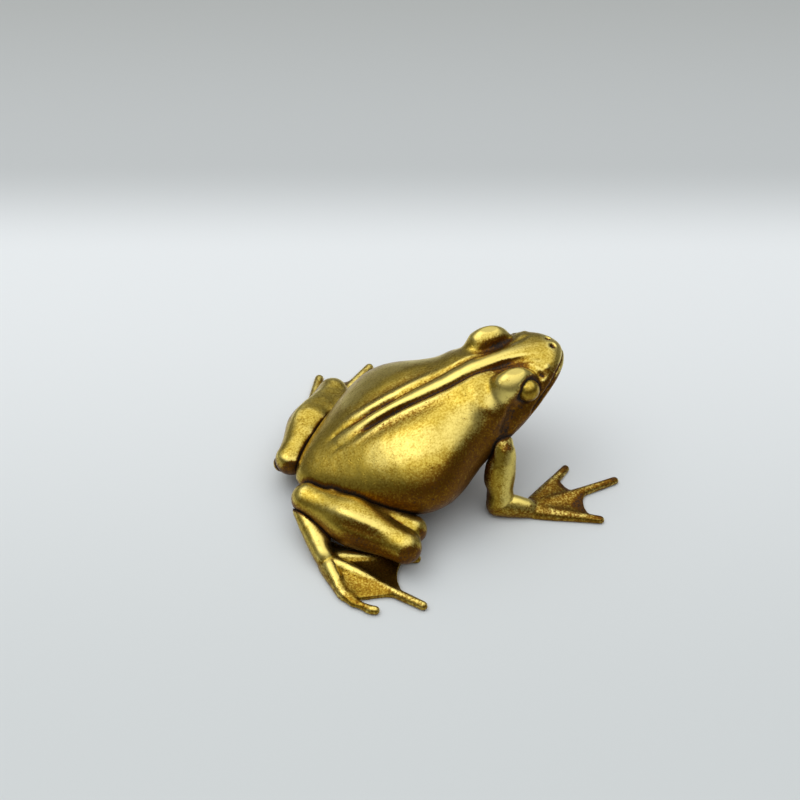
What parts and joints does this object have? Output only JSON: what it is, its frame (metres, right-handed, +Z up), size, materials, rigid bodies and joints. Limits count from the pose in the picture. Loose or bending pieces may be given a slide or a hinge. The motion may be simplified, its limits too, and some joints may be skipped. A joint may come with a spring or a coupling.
{
  "type": "frog figurine",
  "caption": "Sitting cast brass frog with folded hind legs, webbed feet and hands and a hollow body, a free-standing desk ornament or paperweight.",
  "frame": {"origin": "on the table under the middle of the figure, at the middle of its bounding box along X and Y", "axes": "+X from the rump to the snout, +Y to the frog's left, +Z up from the table"},
  "size_m": [0.065, 0.0686, 0.0278],
  "materials": {
    "body_brass": "antiqued and rubbed, dark in the hollows",
    "limb_brass": "antiqued and rubbed, dark in the creases",
    "eye_brass": "antiqued, rubbed on the crown",
    "peg_brass": "drawn rod, left bare"
  },
  "bodies": {
    "root": {"back_shell": "body_brass", "belly_shell": "body_brass", "right_eye": "eye_brass", "left_eye": "eye_brass", "right_hind_leg": "limb_brass", "left_hind_leg": "limb_brass", "right_hind_foot": "limb_brass", "left_hind_foot": "limb_brass", "right_upper_arm": "limb_brass", "left_upper_arm": "limb_brass", "right_hand": "limb_brass", "left_hand": "limb_brass", "hip_pegs": "peg_brass", "shoulder_pegs": "peg_brass", "heel_pegs": "peg_brass", "elbow_pegs": "peg_brass"}
  },
  "joints": []
}
